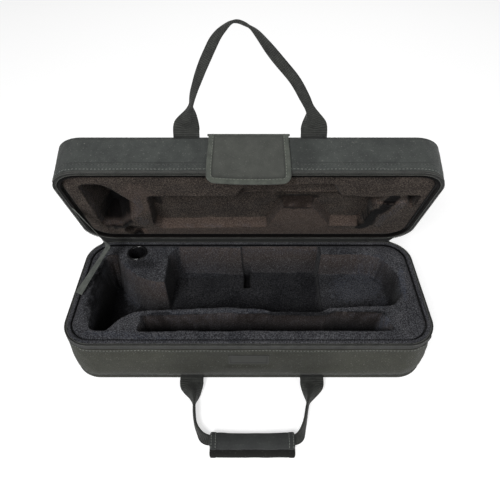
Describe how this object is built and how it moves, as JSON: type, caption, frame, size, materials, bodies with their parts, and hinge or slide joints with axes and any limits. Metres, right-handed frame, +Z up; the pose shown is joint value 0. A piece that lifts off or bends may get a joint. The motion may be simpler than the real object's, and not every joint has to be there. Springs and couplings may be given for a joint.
{
  "type": "trumpet case",
  "caption": "Oblong padded instrument case, zipped all round, standing open, with shaped plush recesses, a lid flap and webbing handles.",
  "frame": {"origin": "centre of the flat underside, where the case rests", "axes": "+X along the case to the right, +Y from the front to the hinge side, +Z up"},
  "size_m": [0.5826, 0.4152, 0.4835],
  "materials": {
    "shell_cloth": "woven nylon, charcoal",
    "cord": "corded seam binding",
    "flap_cloth": "woven nylon, slightly lighter",
    "binding": "grey-green ribbed tape",
    "webbing": "ribbed webbing",
    "grip_cloth": "padded nylon",
    "hook_loop": "hook and loop tape",
    "zip_tape": "zip tape",
    "zip_coil": "nylon coil",
    "slider_metal": "black enamel",
    "base_plush": "short plush, blue black, over foam",
    "lid_plush": "short plush, brown black, over foam",
    "foam": "rigid foam wall",
    "board": "thin fibre board",
    "black_plastic": "gloss black",
    "label": "embossed soft plastic, blank",
    "strap_ribbon": "ribbed grosgrain ribbon"
  },
  "bodies": {
    "base": {"base_floor_board": "board", "base_wall_frame": "foam", "base_bottom_panel": "shell_cloth", "base_side_band": "shell_cloth", "base_seam_cord": "cord", "base_zip_tape": "zip_tape", "base_zip_coil": "zip_coil", "base_rim_lining": "base_plush", "base_foam_bed": "base_plush", "holder_cup": "black_plastic", "front_label": "label", "hinge_spine_cloth": "shell_cloth", "stay_strap": "strap_ribbon", "zip_slider_left": "slider_metal", "zip_slider_right": "slider_metal", "base_handle_tabs": "webbing"},
    "lid": {"lid_wall_frame": "foam", "lid_top_board": "board", "lid_top_panel": "shell_cloth", "lid_side_band": "shell_cloth", "lid_seam_cord": "cord", "lid_zip_tape": "zip_tape", "lid_zip_coil": "zip_coil", "lid_rim_lining": "lid_plush", "lid_foam_insert": "lid_plush", "flap_root_strip": "shell_cloth", "lid_handle_tabs": "webbing"},
    "lid_handle": {"lid_handle_webbing": "webbing"},
    "front_flap": {"flap_binding": "binding", "flap_lining": "shell_cloth", "flap_stiffener": "board", "flap_face": "flap_cloth"},
    "base_handle": {"base_handle_webbing": "webbing", "grip_back_pad": "grip_cloth", "grip_loop_tape": "hook_loop"},
    "grip_flap": {"grip_flap": "grip_cloth", "grip_hook_tape": "hook_loop"},
    "zip_pull_left": {"zip_pull_left": "slider_metal"},
    "zip_pull_right": {"zip_pull_right": "slider_metal"}
  },
  "joints": [
    {"name": "lid_hinge", "type": "hinge", "parent": "base", "child": "lid", "pos_m": [0, 0.114, 0.0983], "axis": [-1, 0, 0], "range_deg": [-67.75, 28], "deforming": ["hinge_spine_cloth", "stay_strap"]},
    {"name": "lid_handle_swing", "type": "hinge", "parent": "lid", "child": "lid_handle", "pos_m": [0, 0.087, 0.33954], "axis": [-1, 0, 0], "range_deg": [-72, 118]},
    {"name": "front_flap_hinge", "type": "hinge", "parent": "lid", "child": "front_flap", "pos_m": [0, 0.08522, 0.33687], "axis": [-1, 0, 0], "range_deg": [0, 170]},
    {"name": "base_handle_swing", "type": "hinge", "parent": "base", "child": "base_handle", "pos_m": [0, -0.12135, 0.01066], "axis": [-1, 0, 0], "range_deg": [0, 75]},
    {"name": "grip_flap_hinge", "type": "hinge", "parent": "base_handle", "child": "grip_flap", "pos_m": [0, -0.21075, 0.011], "axis": [-1, 0, 0], "range_deg": [0, 160]},
    {"name": "zip_pull_left_swing", "type": "hinge", "parent": "base", "child": "zip_pull_left", "pos_m": [-0.233, 0.1199, 0.0913], "axis": [1, 0, 0], "range_deg": [0, 90]},
    {"name": "zip_pull_right_swing", "type": "hinge", "parent": "base", "child": "zip_pull_right", "pos_m": [0.233, 0.1199, 0.0913], "axis": [1, 0, 0], "range_deg": [0, 90]}
  ]
}
